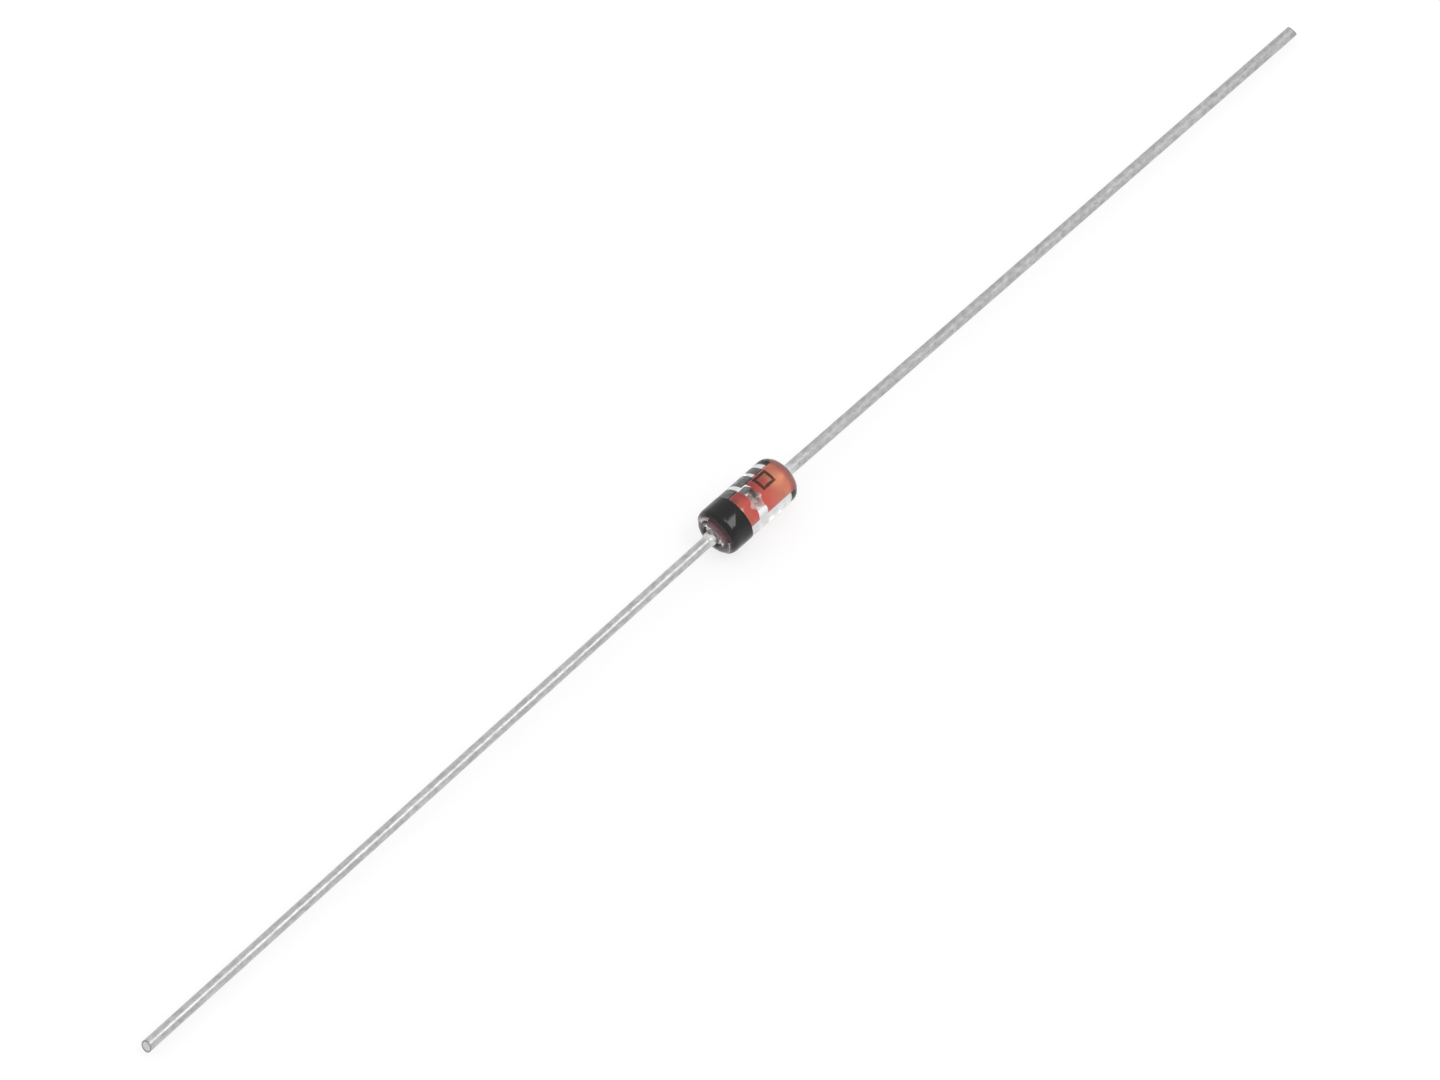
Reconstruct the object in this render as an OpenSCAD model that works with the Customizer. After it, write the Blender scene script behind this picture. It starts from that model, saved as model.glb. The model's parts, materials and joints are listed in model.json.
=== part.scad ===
// Glass zener diode with two axial leads.
// The origin is the centre of the glass. X runs along the body, with the cathode
// at -X and the anode at +X, and the diode lies on its glass with +Z up.

/* [Glass sleeve] */
// Outside diameter of the glass
glass_d = 1.9; // [1.7:0.05:2.2]
// Length of the glass from end to end
glass_l = 3.8; // [3.4:0.1:4.6]
// Radius of the fire-polished shoulder round the outside of each end
shoulder_r = 0.42; // [0.2:0.01:0.43]
// Radius of the fire-polished lip round the mouth of the bore
lip_r = 0.07; // [0.05:0.01:0.2]
// Narrowest flat left on the end of the glass between shoulder and lip
end_land = 0.01; // [0.01:0.01:0.1]

/* [Slugs] */
// Diameter of each slug, and of the bore that is sealed on to it
slug_d = 0.86; // [0.7:0.02:0.9]
// How far the outer face of each slug lies inside the end of the glass
slug_recess = 0.1; // [0.05:0.01:0.3]
// Radius of the rounded rim at the die end of each slug
nose_r = 0.09; // [0.03:0.01:0.12]
// Radius of the rounded rim at the outer end of each slug
rim_r = 0.03; // [0.01:0.01:0.06]
// How far the gap between the slugs lies from the middle of the glass, towards the anode
gap_shift = 0.14; // [0:0.01:0.2]

/* [Die] */
// Width of the square silicon die
die_w = 0.4; // [0.25:0.01:0.5]
// Thickness of the die
die_t = 0.2; // [0.12:0.01:0.25]
// Diameter of the silver contact bump on the die
bump_d = 0.26; // [0.15:0.01:0.3]
// Height of the bump, which holds the anode slug off the die
bump_h = 0.08; // [0.03:0.01:0.1]

/* [Leads] */
// Diameter of each lead
lead_d = 0.45; // [0.35:0.01:0.56]
// Length of each lead from the end of the glass to its tip
lead_l = 29; // [20:0.2:38]
// Angle at which each lead hangs below the axis of the glass, in degrees
lead_droop = 1; // [0:0.1:1.2]
// Slant of the sheared tip from a square cut, in degrees
tip_shear = 20; // [0:1:35]
// How far the weld bead between lead and slug stands proud of the lead
weld_swell = 0.06; // [0.02:0.01:0.08]
// Length of the bead from the face of the slug to where it runs out on the lead
weld_l = 0.42; // [0.3:0.01:0.6]

/* [Cathode band] */
// Width of the painted band along the glass
band_w = 0.95; // [0.5:0.05:1.4]
// Bare glass between the end of the sleeve and the band
band_inset = 0.2; // [0.1:0.01:0.5]
// Thickness of the paint
band_t = 0.02; // [0.015:0.005:0.04]

/* [Hidden] */
$fn = 96;

glass_r = glass_d / 2;
glass_end = glass_l / 2;
slug_r = slug_d / 2;
lead_r = lead_d / 2;
weld_r = lead_r + weld_swell;

// The die and its bump fill the gap between the slugs
slug_gap = die_t + bump_h;
gap_start = gap_shift - slug_gap / 2;
gap_end = gap_start + slug_gap;
slug_out = glass_end - slug_recess;

// A shoulder is never larger than the wall leaves room for beside its lip
shoulder = min(shoulder_r, glass_r - slug_r - lip_r - end_land);

// The bead is a barrel: an arc, widest just off the slug, that runs out on the lead
weld_waist = weld_l / 4;
weld_run = weld_l - weld_waist;
weld_arc_r = (weld_run * weld_run + weld_swell * weld_swell) / (2 * weld_swell);

// The lead starts inside its bead and leans down from there
lead_root = slug_out + weld_l / 2;
wire_l = glass_end + lead_l - lead_root;
// The slanted cut is this much further back on the axis than at its longest edge
tip_setback = lead_r * tan(tip_shear);

// Turns a half section about X, with the seam on top: its x is the radius and its y runs along X
module revolve_x() {
    rotate([0, 90, 0]) rotate(180) rotate_extrude() children();
}

// Lays a shape that stands on Z along X
module along_x() {
    rotate([0, 90, 0]) children();
}

// What lies between the corner of a square and the arc that rounds it off
module corner_waste(r) {
    difference() {
        square(r);
        translate([r, r]) circle(r);
    }
}

// Half section of a solid rod as large as the glass, grown by a coat of paint
module rod_section(coat) {
    r = glass_r + coat;
    half = glass_end + coat;
    difference() {
        translate([0, -half]) square([r, 2 * half]);
        for (side = [0, 1])
            mirror([0, side])
                translate([r, half]) rotate(180) corner_waste(shoulder + coat);
    }
}

module glass_sleeve() {
    color([0.86, 0.9, 0.88, 0.4])
        revolve_x() difference() {
            rod_section(0);
            translate([0, -glass_l]) square([slug_r, 2 * glass_l]);
            for (side = [0, 1])
                mirror([0, side])
                    translate([slug_r, glass_end]) rotate(-90) corner_waste(lip_r);
        }
}

module cathode_band() {
    color([0.1, 0.1, 0.11])
        revolve_x() difference() {
            intersection() {
                rod_section(band_t);
                translate([0, band_inset - glass_end]) square([glass_d, band_w]);
            }
            rod_section(0);
        }
}

// One slug on the +X side, from the place of its nose to its outer face
module slug(nose) {
    slug_l = slug_out - nose;
    color([0.78, 0.36, 0.24])
        translate([nose, 0, 0])
            revolve_x() difference() {
                square([slug_r, slug_l]);
                translate([slug_r, 0]) rotate(90) corner_waste(nose_r);
                translate([slug_r, slug_l]) rotate(180) corner_waste(rim_r);
            }
}

module cathode_slug() {
    mirror([1, 0, 0]) slug(-gap_start);
}

module anode_slug() {
    slug(gap_end);
}

module zener_die() {
    color([0.32, 0.33, 0.36])
        translate([gap_start, -die_w / 2, -die_w / 2]) cube([die_t, die_w, die_w]);
}

module die_bump() {
    color([0.85, 0.85, 0.83])
        translate([gap_end - bump_h, 0, 0]) along_x() cylinder(d = bump_d, h = bump_h);
}

// Half section of the weld bead, standing on the face of its slug
module weld_section() {
    intersection() {
        translate([weld_r - weld_arc_r, weld_waist]) circle(weld_arc_r);
        square([weld_r, 2 * weld_arc_r]);
    }
}

// The straight wire along Z, with its tip sheared off at a slant
module wire() {
    difference() {
        cylinder(r = lead_r, h = wire_l);
        translate([0, 0, wire_l - tip_setback])
            rotate([0, -tip_shear, 0])
                translate([-lead_d, -lead_d, 0]) cube(2 * lead_d);
    }
}

// One lead on the +X side, with the bead that welds it to its slug
module lead() {
    color([0.74, 0.75, 0.76]) {
        translate([slug_out, 0, 0]) revolve_x() weld_section();
        translate([lead_root, 0, 0]) rotate([0, lead_droop, 0]) along_x() wire();
    }
}

module cathode_lead() {
    mirror([1, 0, 0]) lead();
}

module anode_lead() {
    lead();
}

glass_sleeve();
cathode_band();
cathode_slug();
anode_slug();
zener_die();
die_bump();
cathode_lead();
anode_lead();
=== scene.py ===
# %% [markdown]
# # Dressing a glass zener diode
# The solids of the diode are already packed at their real size: a glass sleeve, a painted band, two
# copper slugs with a silicon die between them, and two tinned leads. They are the fixed frame here.
# This lesson models a finer skin for each of them in the same place, gives every finish its own
# material, and then lights the diode the way a shop photographs small parts, on a white table.

# %% Load the frame and note its box
import json
import math

import bpy
from mathutils import Matrix, Vector, noise


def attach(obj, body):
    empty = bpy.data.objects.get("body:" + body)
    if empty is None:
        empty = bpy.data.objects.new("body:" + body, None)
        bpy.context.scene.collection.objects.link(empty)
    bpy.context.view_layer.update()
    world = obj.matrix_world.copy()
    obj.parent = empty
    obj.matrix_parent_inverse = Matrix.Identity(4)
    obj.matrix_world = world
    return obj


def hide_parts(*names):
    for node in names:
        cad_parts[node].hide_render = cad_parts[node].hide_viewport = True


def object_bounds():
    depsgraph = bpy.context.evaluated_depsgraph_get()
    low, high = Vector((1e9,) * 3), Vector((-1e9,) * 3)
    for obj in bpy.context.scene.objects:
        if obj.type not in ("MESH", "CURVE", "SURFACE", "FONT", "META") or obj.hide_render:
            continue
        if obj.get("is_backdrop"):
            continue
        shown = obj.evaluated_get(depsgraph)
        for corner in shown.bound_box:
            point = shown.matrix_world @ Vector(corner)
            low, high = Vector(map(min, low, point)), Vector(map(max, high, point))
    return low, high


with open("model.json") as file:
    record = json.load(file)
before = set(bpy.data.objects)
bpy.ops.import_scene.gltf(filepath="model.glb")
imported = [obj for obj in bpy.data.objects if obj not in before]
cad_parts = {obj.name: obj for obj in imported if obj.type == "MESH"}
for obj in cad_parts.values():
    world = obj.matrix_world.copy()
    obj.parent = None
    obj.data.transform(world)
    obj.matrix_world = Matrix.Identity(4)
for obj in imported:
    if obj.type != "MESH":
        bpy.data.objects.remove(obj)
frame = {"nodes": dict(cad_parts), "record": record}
cad_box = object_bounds()
bpy.ops.object.select_all(action="DESELECT")

MM = 0.001
TINY = 1e-7
X_AXIS, Y_AXIS, Z_AXIS = (1, 0, 0), (0, 1, 0), (0, 0, 1)
print("nodes:", sorted(frame["nodes"]))

# %% [markdown]
# ## Reading sizes off the frame
# Everything on this part is turned about the X axis, so three numbers place a piece: where it starts,
# where it ends, and how far it reaches from the axis. They could be typed in again from a drawing, but
# reading them from the solids keeps the skin on the part even after a size changes.

# %% Measure a solid along and round the axis


def turned_size(node):
    """Where a solid starts and ends along X, and its radius about X."""
    points = [vertex.co for vertex in frame["nodes"][node].data.vertices]
    places = [point.x for point in points]
    reach = max(math.hypot(point.y, point.z) for point in points)
    return min(places), max(places), reach


def flat_radii(node, x):
    """The smallest and largest radius of a flat end of a solid."""
    points = [vertex.co for vertex in frame["nodes"][node].data.vertices]
    radii = [math.hypot(point.y, point.z) for point in points if abs(point.x - x) < TINY]
    return min(radii), max(radii)


glass_start, glass_end, glass_r = turned_size("glass_sleeve")
gap_end, slug_end, slug_r = turned_size("anode_slug")
gap_start = turned_size("cathode_slug")[1]
gap_middle = (gap_start + gap_end) / 2
print(f"glass {2 * glass_r / MM:.2f} mm across and {(glass_end - glass_start) / MM:.2f} mm long")
print(f"gap between the slugs {(gap_end - gap_start) / MM:.2f} mm")

# %% [markdown]
# ## Working by hand, in code
# An operator acts on whatever is selected. These few helpers do what a hand does between operators:
# open a piece for editing, pick its points or edges by their place, and close it again. Picking by place
# was chosen over picking by number, because numbers change as soon as a cut or a bevel is added. On a disc
# as small as the bump below, the operator that turns faces outwards can turn them all inwards, so the volume
# has the last word.

# %% Open a piece, pick by place, close it


def edit(piece):
    """Opens one piece for editing, with nothing else selected."""
    bpy.ops.object.select_all(action="DESELECT")
    piece.select_set(True)
    bpy.context.view_layer.objects.active = piece
    bpy.ops.object.mode_set(mode="EDIT")


def close():
    """Leaves edit mode."""
    bpy.ops.object.mode_set(mode="OBJECT")


def pick(kind, parts_of, wanted):
    """Selects only the points, edges or faces that pass the test, inside edit mode."""
    bpy.ops.mesh.select_mode(type=kind)
    bpy.ops.mesh.select_all(action="DESELECT")
    close()
    for part in parts_of():
        part.select = bool(wanted(part))
    bpy.ops.object.mode_set(mode="EDIT")


def pick_points(piece, wanted):
    """Selects only the points whose place passes the test."""
    pick("VERT", lambda: piece.data.vertices, lambda vertex: wanted(vertex.co))


def pick_edges(piece, wanted):
    """Selects only the edges whose two ends pass the test."""

    def both(edge):
        one, two = (piece.data.vertices[index].co for index in edge.vertices)
        return wanted(one, two)

    pick("EDGE", lambda: piece.data.edges, both)


def volume(piece):
    """The volume inside a closed mesh, which is below zero if its faces point inwards."""
    mesh = piece.data
    mesh.calc_loop_triangles()
    triangles = ([mesh.vertices[index].co for index in face.vertices] for face in mesh.loop_triangles)
    return sum(one.dot(two.cross(three)) for one, two, three in triangles) / 6


def settle(piece):
    """Merges doubled points and turns every face outwards, inside edit mode."""
    bpy.ops.mesh.select_mode(type="VERT")
    bpy.ops.mesh.select_all(action="SELECT")
    bpy.ops.mesh.remove_doubles(threshold=TINY)
    bpy.ops.mesh.normals_make_consistent(inside=False)
    piece.update_from_editmode()
    if volume(piece) < 0:
        bpy.ops.mesh.flip_normals()


# %% [markdown]
# ## Turning a piece
# A turned piece starts as a flat half section. The section is a plane as large as the piece, its corners
# are rounded by a vertex bevel, its face is deleted so that only the outline is left, and the outline is
# spun once round X. A section that touches the axis loses its edge there, so that no wall is left inside.
# A bevelled cylinder would do for a plain rod, but the spin also gives a tube with a rounded mouth.

# %% Turn a piece from its half section


def turned_piece(name, start, end, inner_r, outer_r, roundings, steps):
    """Spins a rectangle about X. A rounding is (x, r, radius, segments) for one corner of it."""
    bpy.ops.object.select_all(action="DESELECT")
    bpy.ops.mesh.primitive_plane_add(
        size=1,
        location=((start + end) / 2, 0, (inner_r + outer_r) / 2),
        rotation=(math.pi / 2, 0, 0),
    )
    piece = bpy.context.object
    piece.name = name
    piece.data.name = name
    piece.scale = (end - start, outer_r - inner_r, 1)
    bpy.ops.object.transform_apply(location=True, rotation=True, scale=True)
    edit(piece)
    for x, r, radius, segments in roundings:
        pick_points(piece, lambda at: abs(at.x - x) < TINY and abs(at.z - r) < TINY)
        bpy.ops.mesh.bevel(affect="VERTICES", offset=radius, segments=segments, profile=0.5)
    bpy.ops.mesh.select_all(action="SELECT")
    bpy.ops.mesh.delete(type="ONLY_FACE")
    if inner_r < TINY:
        pick_edges(piece, lambda one, two: one.z < TINY and two.z < TINY)
        bpy.ops.mesh.delete(type="EDGE")
    bpy.ops.mesh.select_mode(type="VERT")
    bpy.ops.mesh.select_all(action="SELECT")
    bpy.ops.mesh.spin(steps=steps, angle=2 * math.pi, center=(0, 0, 0), axis=X_AXIS)
    settle(piece)
    close()
    return piece


# %% Shade a piece and hand it over


def smooth(piece, degrees):
    """Shades a piece smooth, apart from edges sharper than the angle."""
    bpy.ops.object.select_all(action="DESELECT")
    piece.select_set(True)
    bpy.context.view_layer.objects.active = piece
    bpy.ops.object.shade_smooth_by_angle(angle=math.radians(degrees))


def finish_piece(piece, node, material):
    """Puts a finished piece on the body, in place of its solid, with its own finish."""
    piece.data.materials.clear()
    piece.data.materials.append(material)
    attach(piece, "root")
    if node:
        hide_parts(node)
    cubic_mm = volume(piece) / MM**3
    print(f"{piece.name}: {len(piece.data.loop_triangles)} triangles round {cubic_mm:.4f} cubic mm")


# %% [markdown]
# ## Shader maths that reads like maths
# A finish is a small sum: so much grain, times a mask, plus a tint. Drawn as a node tree, such a sum is
# hard to read and harder to change. Wrapped in this class, a socket takes Python's own signs, and each
# sign adds one Math node. Any other node comes from `node`, which sets the node up and feeds its sockets.
# The Mix node has sockets of the same name for numbers, vectors and colours, so those for colours are
# picked by number.

# %% A socket that can be reckoned with
MIX_FACTOR, MIX_LOW, MIX_HIGH, MIX_COLOUR = 0, 6, 7, 2


class Signal:
    """One output socket in a material's tree."""

    def __init__(self, tree, socket=None):
        self.tree = tree
        self.socket = socket

    def node(self, kind, settings, feeds, output=0):
        """Adds a node, sets it up, feeds its sockets and returns one of its outputs."""
        made = self.tree.nodes.new(kind)
        for name, value in settings.items():
            setattr(made, name, value)
        for key, value in feeds.items():
            if isinstance(value, Signal):
                self.tree.links.new(value.socket, made.inputs[key])
            else:
                made.inputs[key].default_value = value
        return Signal(self.tree, made.outputs[output])

    def maths(self, operation, one, two):
        """Adds one Math node."""
        return self.node("ShaderNodeMath", {"operation": operation}, {0: one, 1: two})

    def __add__(self, other):
        return self.maths("ADD", self, other)

    def __radd__(self, other):
        return self.maths("ADD", other, self)

    def __sub__(self, other):
        return self.maths("SUBTRACT", self, other)

    def __rsub__(self, other):
        return self.maths("SUBTRACT", other, self)

    def __mul__(self, other):
        return self.maths("MULTIPLY", self, other)

    def __rmul__(self, other):
        return self.maths("MULTIPLY", other, self)

    def tint(self, low, high):
        """A colour that goes from one shade to another as this value goes from 0 to 1."""
        shades = [shade if isinstance(shade, Signal) else (*shade, 1) for shade in (low, high)]
        feeds = {MIX_FACTOR: self, MIX_LOW: shades[0], MIX_HIGH: shades[1]}
        return self.node("ShaderNodeMix", {"data_type": "RGBA"}, feeds, MIX_COLOUR)

    def between(self, low, high):
        """0 at low, 1 at high, and a straight rise between them, where low may be the larger one."""
        feeds = {"Value": self, "From Min": low, "From Max": high}
        return self.node("ShaderNodeMapRange", {"clamp": True}, feeds)


# %% [markdown]
# Every finish starts from the same shader. What is the same all over goes straight on its sockets. What
# changes over the surface is worked out from the point's own place on the piece, in metres. That needs no
# unwrapping, and it stays put on the piece from any side.

# %% Start a finish and ask where a point is


def new_finish(name, **constants):
    """A material with its constant sockets set, and a Signal to build the rest on."""
    material = bpy.data.materials.new(name)
    material.use_nodes = True
    shader = material.node_tree.nodes["Principled BSDF"]
    for key, value in constants.items():
        shader.inputs[key.replace("_", " ")].default_value = value
    return material, shader, Signal(material.node_tree)


def connect(signal, shader, socket):
    """Feeds one of the shader's sockets."""
    signal.tree.links.new(signal.socket, shader.inputs[socket])


def place(kit):
    """The point on the piece, in metres."""
    return kit.node("ShaderNodeTexCoord", {}, {}, "Object")


def along(kit, direction=X_AXIS):
    """How far the point lies from the middle of the diode in one direction, in metres."""
    feeds = {0: place(kit), 1: direction}
    return kit.node("ShaderNodeVectorMath", {"operation": "DOT_PRODUCT"}, feeds, "Value")


def distance_along(kit, middle=0, direction=X_AXIS):
    """How far the point lies from a place in one direction, either way."""
    return kit.node("ShaderNodeMath", {"operation": "ABSOLUTE"}, {0: along(kit, direction) - middle})


def radius(kit):
    """How far the point lies from the X axis."""
    across = kit.node("ShaderNodeMapping", {}, {"Vector": place(kit), "Scale": (0, 1, 1)})
    return kit.node("ShaderNodeVectorMath", {"operation": "LENGTH"}, {0: across}, "Value")


# %% Spots, grain and bump
SPOT_CORE = 0.4


def spot(kit, x, out, angle, size):
    """1 at a place given by x, radius and degrees up from +Y, and 0 from a distance of this size on."""
    turn = math.radians(angle)
    centre = (x, out * math.cos(turn), out * math.sin(turn))
    feeds = {0: place(kit), 1: centre}
    away = kit.node("ShaderNodeVectorMath", {"operation": "DISTANCE"}, feeds, "Value")
    return 1 - away.between(SPOT_CORE * size, size)


def grain(kit, size, stretch=1, detail=2):
    """Noise whose spots are about this size, drawn out along X by the stretch."""
    scale = (1 / (size * stretch), 1 / size, 1 / size)
    spots = kit.node("ShaderNodeMapping", {}, {"Vector": place(kit), "Scale": scale})
    feeds = {"Vector": spots, "Scale": 1, "Detail": detail}
    return kit.node("ShaderNodeTexNoise", {}, feeds)


def roughen(kit, height, depth, shader):
    """Bump of a real depth, in metres."""
    feeds = {"Strength": 1, "Distance": depth, "Height": height}
    connect(kit.node("ShaderNodeBump", {}, feeds), shader, "Normal")


# %% [markdown]
# ## Glass sleeve
# The sleeve is a short length of glass tube, sealed on to the slugs in an oven. Its ends were softened by
# the heat, so the outer edge is a wide shoulder and the mouth of the bore a small rounded lip. On the real
# part the glass wets the slugs with no air between. To get that look, the bore is a hair smaller than the
# slugs, so that a ray inside the glass meets copper before it meets the wall of the bore.

# %% Turn the glass sleeve
land_inner_r, land_outer_r = flat_radii("glass_sleeve", glass_end)
shoulder = glass_r - land_outer_r
lip = land_inner_r - slug_r
SEAL = 0.006 * MM
SHOULDER_SEGMENTS = 18
LIP_SEGMENTS = 8
ROUND_STEPS = 160
SHARP_DEGREES = 30

bore_r = slug_r - SEAL
roundings = []
for x in (glass_start, glass_end):
    roundings += [(x, glass_r, shoulder, SHOULDER_SEGMENTS), (x, bore_r, lip, LIP_SEGMENTS)]
sleeve = turned_piece("glass_sleeve_skin", glass_start, glass_end, bore_r, glass_r, roundings, ROUND_STEPS)
smooth(sleeve, SHARP_DEGREES)
print(f"shoulder {shoulder / MM:.2f} mm and lip {lip / MM:.2f} mm")

# %% [markdown]
# The glass is clear, with a faint cool tinge. Its tint carries painted shade in two places: a dark ring round
# the shoulder of the banded end, and a grey underside, on which it lies, which sets the clear rim off from
# the table.
# Over the gap it has a dark red-brown spot. Separate shells could carry these, but a tint of the glass itself
# shows from every side, also where the glass bends the light. A slow, shallow bump stands for the waviness of
# softened glass.

# %% Clear glass
CLEAR = (0.94, 0.965, 0.97)
# Painted shade: the underside of the glass is tinted grey.
SHADED_UNDERSIDE = (0.7, 0.74, 0.75)
# Painted shade: a dark ring in the glass round the shoulder of the banded end.
SHADED_END = (0.1, 0.05, 0.06)
# A dark red-brown spot in the glass over the gap.
GAP_SPOT_BROWN = (0.15, 0.02, 0.004)
UNDERSIDE_SHADE_HEIGHTS = (-0.5 * MM, -0.8 * MM)
END_SHADE_X = (-1.3 * MM, -1.5 * MM)
END_SHADE_RADII = (0.64 * MM, 0.78 * MM)
GAP_SPOT_ANGLE = 58
GAP_SPOT_SIZE = 0.28 * MM
WAVE_SIZE = 0.7 * MM
WAVE_DEPTH = 0.005 * MM

clear_glass, shader, kit = new_finish("clear_glass", Roughness=0, IOR=1.5, Transmission_Weight=1)
# Painted shade: the glass turns grey towards the underside.
underside_shade = along(kit, Z_AXIS).between(*UNDERSIDE_SHADE_HEIGHTS)
# Painted shade: the glass darkens in a ring round the shoulder of the banded end.
end_shade = along(kit).between(*END_SHADE_X) * radius(kit).between(*END_SHADE_RADII)
gap_spot = spot(kit, gap_middle, slug_r, GAP_SPOT_ANGLE, GAP_SPOT_SIZE)
connect(gap_spot.tint(end_shade.tint(underside_shade.tint(CLEAR, SHADED_UNDERSIDE), SHADED_END), GAP_SPOT_BROWN), shader, "Base Color")
roughen(kit, grain(kit, WAVE_SIZE, detail=1), WAVE_DEPTH, shader)
finish_piece(sleeve, "glass_sleeve", clear_glass)

# %% [markdown]
# ## Cathode band
# The band is a ring of black marking paint, rolled on to the glass. It could be turned like the sleeve,
# but paint has no shape of its own: it follows the shoulder under it. So the band is a sheet lifted off
# the sleeve's outer skin, cut off at the two edges of the band and given the thickness of a coat.

# %% Lift a sheet off the glass, cut it and coat it


def lift_skin(name):
    """A sheet as large as the outside of the glass, to be cut to the shape of a painted mark."""
    sheet = bpy.data.objects.new(name, sleeve.data.copy())
    sheet.data.name = name
    bpy.context.collection.objects.link(sheet)
    edit(sheet)
    pick_points(sheet, lambda at: math.hypot(at.y, at.z) < land_outer_r - TINY)
    bpy.ops.mesh.delete(type="VERT")
    close()
    return sheet


def cut(point, normal, **options):
    """Cuts the whole mesh by a plane, inside edit mode."""
    bpy.ops.mesh.select_all(action="SELECT")
    bpy.ops.mesh.bisect(plane_co=point, plane_no=normal, threshold=TINY, **options)


def coat(sheet, thickness):
    """Gives a sheet the thickness of its paint, rooted a hair inside the glass."""
    whole = thickness + SEAL
    solidify = sheet.modifiers.new("Coat", "SOLIDIFY")
    solidify.thickness = whole
    solidify.offset = 2 * thickness / whole - 1
    bpy.ops.object.select_all(action="DESELECT")
    sheet.select_set(True)
    bpy.context.view_layer.objects.active = sheet
    bpy.ops.object.modifier_apply(modifier=solidify.name)


# %% Cut the band and let its edges wander
band_start, band_end, band_r = turned_size("cathode_band")
EDGE_WANDER = 0.01 * MM
EDGE_SPOT = 0.3 * MM
PAINT_SHARP_DEGREES = 40

band = lift_skin("cathode_band_skin")
edit(band)
for x, side in ((band_start, -1), (band_end, 1)):
    cut((x, 0, 0), (side, 0, 0), clear_outer=True)
close()
for vertex in band.data.vertices:
    for x, side in ((band_start, 1), (band_end, -1)):
        if abs(vertex.co.x - x) < TINY:
            shift = noise.noise(Vector((x, vertex.co.y, vertex.co.z)) / EDGE_SPOT)
            vertex.co.x += side * EDGE_WANDER * (1 + shift)
coat(band, band_r - glass_r)
smooth(band, PAINT_SHARP_DEGREES)
print(f"band {(band_end - band_start) / MM:.2f} mm wide and {(band_r - glass_r) / MM:.3f} mm thick")

# %% [markdown]
# Marking paint dries glossy and uneven. It has dull patches, a little dust, slow sags, a slanted ridge and a
# long shallow hollow. The ridge cuts the reflection of the lamp off at a slant, and the hollow draws it out.
# A flat black would hide all of that, so the paint gets its patches in the roughness and its forms in the
# bump.

# %% Black marking paint
DEEP_BLACK = (0.001, 0.001, 0.0013)
WORN_BLACK = (0.005, 0.0045, 0.0055)
RIDGE_ACROSS = (1, -0.8, -0.37)
RIDGE_START, RIDGE_TOP, RIDGE_END = -1.6 * MM, -1.1 * MM, -0.5 * MM
HOLLOW_ACROSS = (0, -0.906, -0.423)
HOLLOW_WIDTH = 0.3 * MM
PATCH_SIZE, SAG_SIZE, DUST_SIZE = 0.4 * MM, 0.6 * MM, 0.05 * MM
PAINT_DEPTH = 0.008 * MM

band_paint, shader, kit = new_finish("band_paint", Specular_IOR_Level=0.4)
patches = grain(kit, PATCH_SIZE)
sag = grain(kit, SAG_SIZE, detail=1)
dust = grain(kit, DUST_SIZE, detail=4).between(0.55, 0.8)
slanted = along(kit, RIDGE_ACROSS)
ridge = slanted.between(RIDGE_START, RIDGE_TOP) * slanted.between(RIDGE_END, RIDGE_TOP)
off_hollow = distance_along(kit, 0, HOLLOW_ACROSS).between(0, HOLLOW_WIDTH)
hollow = off_hollow * off_hollow
connect(patches.tint(DEEP_BLACK, WORN_BLACK), shader, "Base Color")
connect(0.06 + 0.16 * patches + 0.12 * dust, shader, "Roughness")
roughen(kit, 3.5 * ridge + 3 * hollow + sag + patches + 0.06 * dust, PAINT_DEPTH, shader)
finish_piece(band, "cathode_band", band_paint)

# %% [markdown]
# ## Ink marks
# A stamp has left plain marks on the side of the glass: a row of slanted blocks that run on round the back,
# and one open square beside them. A picture could carry them, but ink has an edge and a thickness. So each
# mark is a sheet lifted off the glass and cut by four planes. Two of the planes hold the axis, so they cut
# at an angle round the glass, and two stand across it, with a little slant on the blocks.

# %% Find the four planes round a mark
BLOCK_ANGLES = (-5, 73)
BLOCK_ENDS = ((-0.85, -0.31), (-0.1, 0.52), (0.68, 1.03), (1.25, 1.48))
BLOCK_SLANT = -0.08
SQUARE_ENDS = (0.45, 1.1)
SQUARE_ANGLES = (77, 114)
STROKE = 0.11
STROKE_ANGLE = 7
INK = 0.006 * MM


def mark_planes(mark_ends, angles, slant=0):
    """Each plane as a point and a normal out of the mark, with ends in mm and degrees up from +Y."""
    low, high = (math.radians(angle) for angle in angles)
    middle = (low + high) / 2
    outward = Vector((0, math.cos(middle), math.sin(middle)))
    upward = Vector((0, -math.sin(middle), math.cos(middle)))
    across = Vector(X_AXIS) + slant * upward
    start, end = (outward * glass_r + Vector((x * MM, 0, 0)) for x in mark_ends)
    axis = Vector((0, 0, 0))
    return [
        (axis, Vector((0, math.sin(low), -math.cos(low)))),
        (axis, Vector((0, -math.sin(high), math.cos(high)))),
        (start, -across),
        (end, across),
    ]


# %% Stamp the blocks and the open square


def stamp(planes):
    """One mark on the glass, still without thickness."""
    mark = lift_skin("ink_mark")
    edit(mark)
    for point, normal in planes:
        cut(point, normal, clear_outer=True)
    close()
    return mark


def cut_window(mark, planes):
    """Takes out what lies inside the planes."""
    edit(mark)
    for point, normal in planes:
        cut(point, normal)
    pick(
        "FACE",
        lambda: mark.data.polygons,
        lambda face: all((face.center - point).dot(normal) < 0 for point, normal in planes),
    )
    bpy.ops.mesh.delete(type="FACE")
    close()


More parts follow.
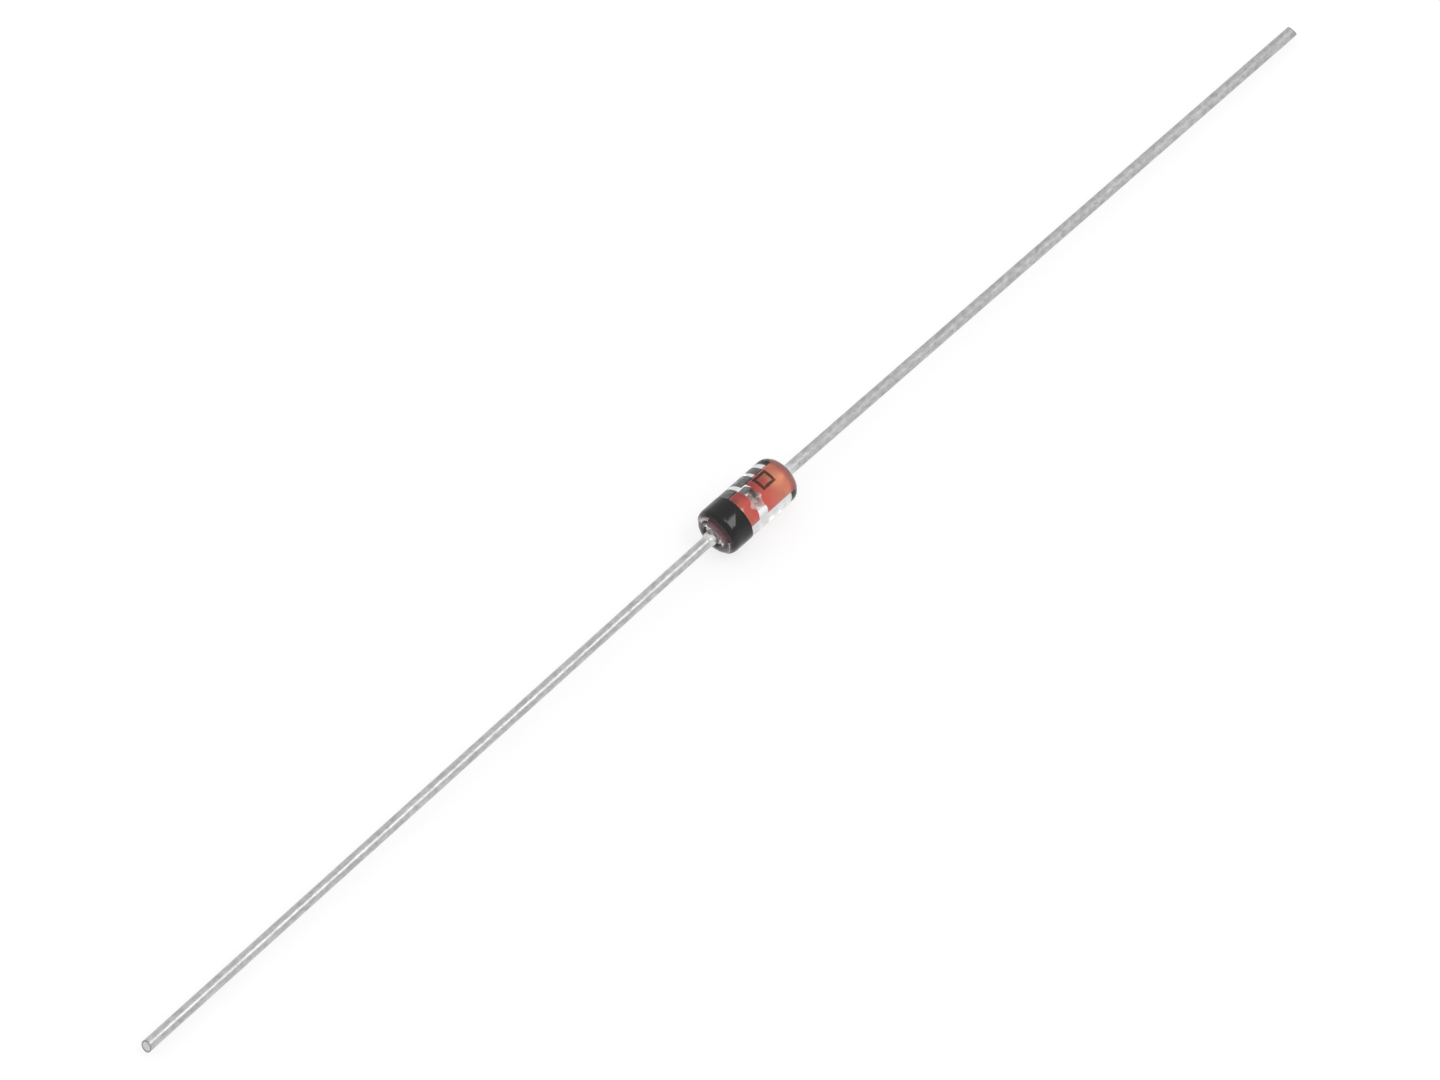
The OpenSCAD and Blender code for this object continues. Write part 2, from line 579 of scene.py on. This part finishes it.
window_ends = (SQUARE_ENDS[0] + STROKE, SQUARE_ENDS[1] - STROKE)
window_angles = (SQUARE_ANGLES[0] + STROKE_ANGLE, SQUARE_ANGLES[1] - STROKE_ANGLE)
square = stamp(mark_planes(SQUARE_ENDS, SQUARE_ANGLES))
cut_window(square, mark_planes(window_ends, window_angles))
marks = [stamp(mark_planes(block_ends, BLOCK_ANGLES, BLOCK_SLANT)) for block_ends in BLOCK_ENDS] + [square]
for mark in marks:
    coat(mark, INK)
bpy.ops.object.select_all(action="DESELECT")
for mark in marks:
    mark.select_set(True)
bpy.context.view_layer.objects.active = marks[0]
bpy.ops.object.join()
ink_marks = bpy.context.object
ink_marks.name = "ink_marks"
ink_marks.data.name = ink_marks.name
smooth(ink_marks, PAINT_SHARP_DEGREES)
print(f"{len(marks)} marks, {INK / MM:.3f} mm thick")

# %% [markdown]
# Stamped ink is thinner than the paint of the band, and blotted: it lets some of the copper show through.
# Grey ink would look like a solid of another colour, so it is black ink, and the blots go into Alpha.

# %% Thin black ink
THICK_INK = (0.006, 0.006, 0.006)
WASHED_INK = (0.02, 0.019, 0.018)
BLOT_SIZE = 0.12 * MM

thin_ink, shader, kit = new_finish("thin_ink", Specular_IOR_Level=0.3, Roughness=0.25)
blots = grain(kit, BLOT_SIZE, detail=3)
connect(blots.tint(THICK_INK, WASHED_INK), shader, "Base Color")
connect(0.34 + 0.5 * blots, shader, "Alpha")
finish_piece(ink_marks, None, thin_ink)

# %% [markdown]
# ## Slugs
# Each slug is a stud of nickel-iron with a copper skin, pushed into the sleeve until it meets the die. It
# is turned like the sleeve, with a rounded rim at both ends. Hot glass has bitten the rim at the die, so
# after the turning the points of that rim are moved back by an uneven amount, with one deeper bite. Noise in
# the material could not do that, because the edge of the copper shows as an outline through the glass.

# %% Turn the two slugs and wear their noses
nose = slug_r - flat_radii("anode_slug", gap_end)[1]
rim = slug_r - flat_radii("anode_slug", slug_end)[1]
NOSE_SEGMENTS = 6
RIM_SEGMENTS = 3
RAGGED = 0.04 * MM
RAGGED_SPOT = 0.22 * MM
NOSE_SEED = 5
CATHODE_BITE = (0.22 * MM, 132, 15)
ANODE_BITE = (0.1 * MM, 112, 14)


def wear_nose(slug, side, inner, bite):
    """Wears the rim at the die, with one bite given by its depth, its angle and its spread in degrees."""
    depth, angle, spread = bite
    seed = Vector((0, 0, NOSE_SEED * side))
    for vertex in slug.data.vertices:
        x, y, z = vertex.co
        out = (math.hypot(y, z) - (slug_r - nose)) / nose
        if side * (x - inner) < nose + TINY and out > 0:
            turn = (math.degrees(math.atan2(z, y)) - angle + 180) % 360 - 180
            bitten = depth * math.exp(-((turn / spread) ** 2))
            worn = RAGGED * (0.5 + noise.noise(vertex.co / RAGGED_SPOT + seed))
            vertex.co.x += side * out * (bitten + max(0, worn))


def turn_slug(node, side, inner, bite):
    """One slug between the gap and its outer face, with side -1 for the cathode and 1 for the anode."""
    outer = side * slug_end
    roundings = [(inner, slug_r, nose, NOSE_SEGMENTS), (outer, slug_r, rim, RIM_SEGMENTS)]
    slug = turned_piece(
        node + "_skin", min(inner, outer), max(inner, outer), 0, slug_r, roundings, ROUND_STEPS
    )
    wear_nose(slug, side, inner, bite)
    smooth(slug, SHARP_DEGREES)
    return slug


cathode_slug = turn_slug("cathode_slug", -1, gap_start, CATHODE_BITE)
anode_slug = turn_slug("anode_slug", 1, gap_end, ANODE_BITE)
print(f"slugs {2 * slug_r / MM:.2f} mm across, with a nose rounded by {nose / MM:.2f} mm")

# %% [markdown]
# Sealing the glass turns the copper skin to red oxide, and that is the colour that shows through the sleeve.
# It is reddest by the die, plum at the banded end, dark at the plain end, and has a painted amber highlight
# on one side. The faces at the die are bare copper, and the outer faces, which no glass covers, were tinned
# with the leads.
# One finish with masks for these places was chosen over a material for each, because they run into each
# other.

# %% Where the copper under the glass changes
# Painted highlight: an amber spot on one side of the anode slug.
HIGHLIGHT_X, HIGHLIGHT_ANGLE, HIGHLIGHT_SIZE = 1.3 * MM, 110, 0.42 * MM
# A dark olive spot on the anode's face at the die.
FACE_SPOT_R, FACE_SPOT_ANGLE, FACE_SPOT_SIZE = 0.28 * MM, 82, 0.27 * MM
MOTTLE_SIZE, FINE_SIZE = 0.35 * MM, 0.04 * MM
RED_REACH = (0.2 * MM, 1.1 * MM)
CONTACT_REACH = (0.5 * MM, 0.6 * MM)
PLUM_X = (-0.85 * MM, -1.2 * MM)
DARK_X = 1.6 * MM

copper, shader, kit = new_finish("slug_copper")
mottle = grain(kit, MOTTLE_SIZE, stretch=1.6, detail=3)
fine = grain(kit, FINE_SIZE, detail=3)
from_die = distance_along(kit, gap_middle)
by_die = 1 - from_die.between(*RED_REACH)
banded_end = along(kit).between(*PLUM_X)
plain_end = along(kit).between(DARK_X, slug_end - rim)
amber_highlight = spot(kit, HIGHLIGHT_X, slug_r, HIGHLIGHT_ANGLE, HIGHLIGHT_SIZE)
face_spot = spot(kit, gap_end, FACE_SPOT_R, FACE_SPOT_ANGLE, FACE_SPOT_SIZE)
inside = 1 - radius(kit).between(slug_r - 0.3 * nose, slug_r - 0.1 * nose)
contact_face = inside * (1 - from_die.between(*CONTACT_REACH))
outer_face = distance_along(kit).between(slug_end - rim, slug_end - 0.5 * rim)

# %% Colour, shine and splashes of the copper
RED = (0.9, 0.16, 0.1)
ORANGE = (0.95, 0.3, 0.14)
DEEP_RED = (1, 0.085, 0.065)
PLUM = (0.95, 0.42, 0.52)
PAINTED_AMBER = (1, 0.36, 0.19)
DARK = (0.3, 0.12, 0.14)
BARE_COPPER = (1, 0.62, 0.56)
FACE_SPOT_DARK = (0.12, 0.075, 0.04)
TINNED = (0.72, 0.71, 0.7)
SPLASH_SIZE = 0.09 * MM
COPPER_DEPTH = 0.02 * MM

oxide = mottle.between(0.35, 0.7).tint(RED, ORANGE)
oxide = by_die.tint(oxide, DEEP_RED)
oxide = banded_end.tint(oxide, PLUM)
# Painted highlight: amber on one side, where the copper also shines more.
oxide = (0.8 * amber_highlight).tint(oxide, PAINTED_AMBER)
oxide = plain_end.tint(oxide, DARK)
bared = contact_face.tint(oxide, face_spot.tint(BARE_COPPER, FACE_SPOT_DARK))
connect(outer_face.tint(bared, TINNED), shader, "Base Color")
shine = 0.15 + 0.4 * amber_highlight + 0.8 * outer_face + 0.6 * contact_face * (1 - face_spot)
connect(shine, shader, "Metallic")
connect(0.34 + 0.25 * fine - 0.2 * outer_face, shader, "Roughness")
splashes = grain(kit, SPLASH_SIZE, detail=1) * outer_face
roughen(kit, 0.3 * mottle + 0.1 * fine + 2 * splashes, COPPER_DEPTH, shader)
finish_piece(cathode_slug, "cathode_slug", copper)
finish_piece(anode_slug, "anode_slug", copper)

# %% [markdown]
# ## Die and contact bump
# Between the slugs sits the diode itself: a square chip of silicon, sawn from a wafer, with a plated
# silver bump that presses on the anode slug. The chip is a cube with its sawn edges broken by a bevel, and
# its sides are streaked by the saw, stained, and tinted a light pink that is painted highlight. The bump is
# turned, with one rounded rim.

# %% Saw the die
die_start, die_end, die_reach = turned_size("zener_die")
die_w = die_reach * math.sqrt(2)
SAW_EDGE = 0.012 * MM

bpy.ops.object.select_all(action="DESELECT")
bpy.ops.mesh.primitive_cube_add(size=1, location=((die_start + die_end) / 2, 0, 0))
die = bpy.context.object
die.name = "zener_die_skin"
die.data.name = die.name
die.scale = (die_end - die_start, die_w, die_w)
bpy.ops.object.transform_apply(location=True, rotation=True, scale=True)
edit(die)
bpy.ops.mesh.select_all(action="SELECT")
bpy.ops.mesh.bevel(affect="EDGES", offset=SAW_EDGE, segments=2)
close()
smooth(die, SHARP_DEGREES)
print(f"die {die_w / MM:.2f} mm wide")

# %% Sawn silicon
# Painted highlight: the sawn sides are a light pink, streaked by the saw.
SAWN_PINK_HIGHLIGHT_LOW = (0.78, 0.58, 0.53)
SAWN_PINK_HIGHLIGHT_HIGH = (1, 0.8, 0.74)
BURNT = (0.09, 0.055, 0.03)
SAW_MARK_SIZE, BURN_SIZE = 0.012 * MM, 0.16 * MM

silicon, shader, kit = new_finish("die_silicon", Metallic=0.2)
saw_marks = grain(kit, SAW_MARK_SIZE, stretch=12)
stains = grain(kit, BURN_SIZE, detail=3).between(0.55, 0.65)
connect(stains.tint(saw_marks.tint(SAWN_PINK_HIGHLIGHT_LOW, SAWN_PINK_HIGHLIGHT_HIGH), BURNT), shader, "Base Color")
connect(0.25 + 0.3 * saw_marks, shader, "Roughness")
finish_piece(die, "zener_die", silicon)

# %% Plate the bump
bump_start, bump_end, bump_r = turned_size("die_bump")
BUMP_EDGE = 0.03 * MM
BUMP_SEGMENTS = 4
BUMP_STEPS = 64
DULL_SILVER = (0.75, 0.74, 0.7)
BRIGHT_SILVER = (0.9, 0.89, 0.86)
PLATING_SIZE = 0.02 * MM

bump_rounding = (bump_end, bump_r, BUMP_EDGE, BUMP_SEGMENTS)
bump = turned_piece("die_bump_skin", bump_start, bump_end, 0, bump_r, [bump_rounding], BUMP_STEPS)
smooth(bump, SHARP_DEGREES)
silver, shader, kit = new_finish("bump_silver", Metallic=1)
plating = grain(kit, PLATING_SIZE)
connect(plating.tint(DULL_SILVER, BRIGHT_SILVER), shader, "Base Color")
connect(0.25 + 0.3 * plating, shader, "Roughness")
finish_piece(bump, "die_bump", silver)

# %% [markdown]
# ## Leads
# A lead is drawn steel wire with a copper jacket, dipped in tin, and butt-welded to its slug in a bead. The
# far end was sheared off at a slant. A curve with a round bevel would give the wire, but not the bead. So a
# cylinder of the wire's size is cut into rings, the first rings are swelled into a lumpy bead, the whole
# wire is leaned down from the bead, and the tip is cut by a plane and dished a little, as shears leave it.
# The cathode's lead is mirrored.

# %% Work out how a lead lies
lead_mount = next(mount for mount in frame["record"]["mounts"] if mount["name"] == "anode_lead")
lead_r = lead_mount["dims"]["r_mm"] * MM
droop = math.asin(-lead_mount["axis"][2])
BEAD_LENGTH = 0.42 * MM
SHEAR = math.radians(20)

tip = turned_size("anode_lead")[1]
pivot = slug_end + BEAD_LENGTH / 2
reach = (tip - pivot + lead_r * math.sin(droop)) / math.cos(droop)
lean = Matrix.Rotation(droop, 4, "Y")
cut_point = Vector((pivot, 0, 0)) + lean @ Vector((reach - lead_r * math.tan(SHEAR), 0, 0))
cut_normal = lean @ Vector((math.cos(SHEAR), 0, math.sin(SHEAR)))
print(f"lead {2 * lead_r / MM:.2f} mm thick and {math.degrees(droop):.1f} degrees down")

# %% Draw the wire, swell its bead and shear its tip
BEAD_SWELL = 0.06 * MM
BEAD_WAIST = BEAD_LENGTH / 4
BEAD_LUMP = 0.026 * MM
BEAD_SPOT = 0.12 * MM
BEAD_RINGS = 24
BEAD_RING_STEP = 1.2 * BEAD_LENGTH / BEAD_RINGS
WIRE_RINGS = 110
WIRE_SIDES = 48
TIP_EDGE = 0.012 * MM
DISH_RIM = 0.09 * MM
DISH = 0.04 * MM
SAME_WAY = 0.9999
BEAD_SEED = 7
WIRE_SHARP_DEGREES = 35


def draw_wire(name):
    """A straight wire from the slug to its tip, in rings that lie close together at the bead."""
    length = pivot + reach - slug_end
    bpy.ops.object.select_all(action="DESELECT")
    bpy.ops.mesh.primitive_cylinder_add(
        vertices=WIRE_SIDES,
        radius=lead_r,
        depth=length,
        location=(slug_end + length / 2, 0, 0),
        rotation=(0, math.pi / 2, 0),
    )
    wire = bpy.context.object
    wire.name = name
    wire.data.name = name
    bpy.ops.object.transform_apply(location=True, rotation=True, scale=True)
    edit(wire)
    pick_edges(wire, lambda one, two: abs(one.x - two.x) > TINY)
    bpy.ops.mesh.subdivide(number_cuts=WIRE_RINGS)
    for ring in range(1, BEAD_RINGS):
        cut((slug_end + ring * BEAD_RING_STEP, 0, 0), X_AXIS)
    close()
    return wire


def swell_bead(wire, side):
    """Moves the first rings out to a barrel with lumps, which differ from side to side."""
    run = BEAD_LENGTH - BEAD_WAIST
    seed = Vector((0, 0, BEAD_SEED * side))
    for vertex in wire.data.vertices:
        from_face = vertex.co.x - slug_end
        if from_face < BEAD_LENGTH:
            swell = BEAD_SWELL * (1 - ((from_face - BEAD_WAIST) / run) ** 2)
            lump = BEAD_LUMP * noise.noise(vertex.co / BEAD_SPOT + seed)
            share = min(1, (BEAD_LENGTH - from_face) / BEAD_WAIST)
            out = 1 + (swell + lump * share) / lead_r
            vertex.co.y *= out
            vertex.co.z *= out


def lean_and_shear(wire, side):
    """Leans the wire down from its bead, cuts and dishes the tip, and mirrors the cathode's lead."""
    edit(wire)
    pick_points(wire, lambda at: at.x > pivot)
    bpy.ops.transform.rotate(
        value=-droop, orient_axis="Y", center_override=(pivot, 0, 0), orient_type="GLOBAL"
    )
    cut(cut_point, cut_normal, clear_outer=True, use_fill=True)
    bpy.ops.mesh.bevel(affect="EDGES", offset=TIP_EDGE, segments=3)
    pick("FACE", lambda: wire.data.polygons, lambda face: face.normal.dot(cut_normal) > SAME_WAY)
    bpy.ops.mesh.inset(thickness=DISH_RIM, depth=-DISH)
    if side < 0:
        bpy.ops.mesh.select_all(action="SELECT")
        bpy.ops.transform.mirror(
            constraint_axis=(True, False, False), orient_type="GLOBAL", center_override=(0, 0, 0)
        )
    settle(wire)
    close()


leads = {}
for node, side in (("cathode_lead", -1), ("anode_lead", 1)):
    leads[node] = draw_wire(node + "_skin")
    swell_bead(leads[node], side)
    lean_and_shear(leads[node], side)
    smooth(leads[node], WIRE_SHARP_DEGREES)
print("leads:", ", ".join(wire.name for wire in leads.values()))

# %% [markdown]
# Dipped tin is a soft, cloudy metal. It has dull stretches along the wire, worn spots, small dark specks and
# faint draw marks, and it is brighter on the bead, where it ran. The sheared face is bare metal inside a rim
# of painted shade. A mirror finish would draw a hard white line of the lamp along the wire. A roughness of
# about a third gives the soft, broken line of real tin. The anode's lead is duller all along, and shows
# hardly any line.

# %% Where the tin changes
DULL_SIZE, WORN_SIZE, SPECK_SIZE, DRAW_MARK_SIZE = 0.5 * MM, 0.16 * MM, 0.09 * MM, 0.02 * MM
CORE_SHARES = (0.6, 0.85)
DULL_LEAD_X = (0, 4 * MM)

tin, shader, kit = new_finish("lead_tin", Metallic=1)
dull = grain(kit, DULL_SIZE, stretch=3, detail=3)
worn = grain(kit, WORN_SIZE, stretch=1.6, detail=2).between(0.3, 0.7)
specks = grain(kit, SPECK_SIZE, stretch=1.5, detail=2).between(0.6, 0.75)
draw_marks = grain(kit, DRAW_MARK_SIZE, stretch=40)
bead = 1 - distance_along(kit).between(slug_end + 0.5 * BEAD_LENGTH, slug_end + 1.5 * BEAD_LENGTH)
beyond = cut_normal.x * distance_along(kit) + cut_normal.z * along(kit, Z_AXIS)
cut_level = cut_point.dot(cut_normal)
cut_face = beyond.between(cut_level - TIP_EDGE - DISH, cut_level - TIP_EDGE)
over_wire = math.cos(droop) * along(kit, Z_AXIS) + math.sin(droop) * (distance_along(kit) - pivot)
beside_wire = along(kit, Y_AXIS)
core_limits = [(share * lead_r) ** 2 for share in CORE_SHARES]
core = 1 - (over_wire * over_wire + beside_wire * beside_wire).between(*core_limits)
anode_side = along(kit).between(*DULL_LEAD_X)

# %% Colour and shine of the tin
DULL_TIN = (0.36, 0.36, 0.365)
BRIGHT_TIN = (0.68, 0.68, 0.685)
BARE_METAL = (0.85, 0.85, 0.84)
# Painted shade: the rim of the sheared face is dark.
SHADED_RIM = (0.3, 0.3, 0.3)
TIN_DEPTH = 0.006 * MM

shade = 0.5 * dull + 0.5 * worn - 0.25 * specks
tinned = (0.7 * bead).tint(shade.tint(DULL_TIN, BRIGHT_TIN), BARE_METAL)
# Painted shade round the rim of the sheared face, with bare metal in its core.
bare_face_and_rim_shade = core.tint(SHADED_RIM, BARE_METAL)
connect(cut_face.tint(tinned, bare_face_and_rim_shade), shader, "Base Color")
connect(0.3 + 0.16 * dull + 0.1 * specks + 0.04 * bead + 0.2 * anode_side, shader, "Roughness")
roughen(kit, dull + 0.25 * draw_marks - 0.5 * specks, TIN_DEPTH, shader)
for node, wire in leads.items():
    finish_piece(wire, node, tin)

# %% [markdown]
# ## Table
# The diode lies on a plain white table. Lit only by lamps, a table is never quite white, and more light
# would bleach the diode. So where the camera sees the table, also in metal or through glass, part of it is
# replaced by a glow of plain white. The rest stays matt and keeps the diode's shadow.

# %% White table
TABLE_SIZE = 3.0
TABLE_WHITE = (0.94, 0.94, 0.94, 1)
GLOW_SHARE = 0.7
GLOW_STRENGTH = 1.06


def seen_directly(kit):
    """1 where the camera sees a surface, also in a mirror or through glass, and 0 for its light."""
    camera_ray = kit.node("ShaderNodeLightPath", {}, {}, "Is Camera Ray")
    mirrored = kit.node("ShaderNodeLightPath", {}, {}, "Is Glossy Ray")
    through = kit.node("ShaderNodeLightPath", {}, {}, "Is Transmission Ray")
    return (camera_ray + mirrored + through).between(0, 1)


bpy.ops.object.select_all(action="DESELECT")
bpy.ops.mesh.primitive_plane_add(size=TABLE_SIZE, location=(0, 0, -band_r))
table = bpy.context.object
table.name = "table"
white, shader, kit = new_finish("white_table", Base_Color=TABLE_WHITE, Roughness=0.9, Specular_IOR_Level=0)
glow = kit.node("ShaderNodeEmission", {}, {"Color": (1, 1, 1, 1), "Strength": GLOW_STRENGTH})
matt = Signal(white.node_tree, shader.outputs[0])
lit = kit.node("ShaderNodeMixShader", {}, {0: GLOW_SHARE * seen_directly(kit), 1: matt, 2: glow})
white.node_tree.links.new(lit.socket, white.node_tree.nodes["Material Output"].inputs["Surface"])
table.data.materials.append(white)
table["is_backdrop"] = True
print(f"table {band_r / MM:.2f} mm below the axis")

# %% [markdown]
# ## Light
# A tent of white cloth round the table lights small shiny parts from all sides. Here the sky does that. One
# soft box stands over the near lead and is brighter than the tent: it draws the line along that lead and the
# patch of light on the band.

# %% Soft sky and one soft box
SKY = 0.88
KEY_TOWARDS = (0.27, -0.41, 0.87)
KEY_DISTANCE = 0.5
KEY_SIZE = (0.14, 0.16)
KEY_RADIANCE = 4.4

world = bpy.data.worlds.new("soft_sky")
bpy.context.scene.world = world
world.use_nodes = True
world.node_tree.nodes["Background"].inputs["Color"].default_value = (1, 1, 1, 1)
world.node_tree.nodes["Background"].inputs["Strength"].default_value = SKY

lamp = bpy.data.lights.new("key", "AREA")
lamp.shape = "RECTANGLE"
lamp.size, lamp.size_y = KEY_SIZE
lamp.energy = KEY_RADIANCE * math.pi * lamp.size * lamp.size_y
towards = Vector(KEY_TOWARDS).normalized()
across = towards.cross(X_AXIS).normalized()
lamp_turn = Matrix((across.cross(towards), across, towards)).transposed().to_4x4()
lamp_stand = bpy.data.objects.new("key", lamp)
lamp_stand.matrix_world = Matrix.Translation(towards * KEY_DISTANCE) @ lamp_turn
bpy.context.collection.objects.link(lamp_stand)
print(f"soft box of {lamp.energy:.3f} W at {KEY_DISTANCE} m")

# %% [markdown]
# ## Camera
# The camera stands where the photographer stood: a little over a quarter of a metre off, looking down across
# the cathode's lead. The long lens keeps the two leads almost parallel. The camera could be turned until the
# diode sits where it does in the picture, but that changes the angle, so it is moved sideways instead.

# %% Camera at the photograph's angle
AZIMUTH = math.radians(-47.12)
ELEVATION = math.radians(55.4)
DISTANCE = 257 * MM
FOCAL_PIXELS = 7035
PHOTO_WIDTH, PHOTO_HEIGHT = 1440, 1080
BODY_PIXEL = (747.7, 505.7)
SENSOR_WIDTH = 36
CLIP_START = 10 * MM

level = Vector((math.sin(AZIMUTH), -math.cos(AZIMUTH), 0))
back = level * math.cos(ELEVATION) + Vector((0, 0, math.sin(ELEVATION)))
right = Vector((math.cos(AZIMUTH), math.sin(AZIMUTH), 0))
up = back.cross(right)
pixel = DISTANCE / FOCAL_PIXELS
aside = (BODY_PIXEL[0] - PHOTO_WIDTH / 2) * pixel
above = (PHOTO_HEIGHT / 2 - BODY_PIXEL[1]) * pixel
lens = bpy.data.cameras.new("camera")
lens.sensor_fit = "HORIZONTAL"
lens.sensor_width = SENSOR_WIDTH
lens.lens = SENSOR_WIDTH * FOCAL_PIXELS / PHOTO_WIDTH
lens.clip_start = CLIP_START
camera = bpy.data.objects.new("camera", lens)
camera_turn = Matrix((right, up, back)).transposed().to_4x4()
camera.matrix_world = Matrix.Translation(back * DISTANCE - right * aside - up * above) @ camera_turn
bpy.context.collection.objects.link(camera)
bpy.context.scene.camera = camera
bpy.context.scene.view_settings.view_transform = "Standard"
print(f"camera {DISTANCE / MM:.0f} mm away with a lens of {lens.lens:.0f} mm")

# %% [markdown]
# ## Does the skin fit the solids?
# The dressed diode has to be as large as its solids.

# %% Compare the boxes and finish
boxes = {"cad": cad_box, "visual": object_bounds()}
for name, (lowest, highest) in boxes.items():
    print(name, "box in mm:", [round((high - low) / MM, 3) for low, high in zip(lowest, highest)])
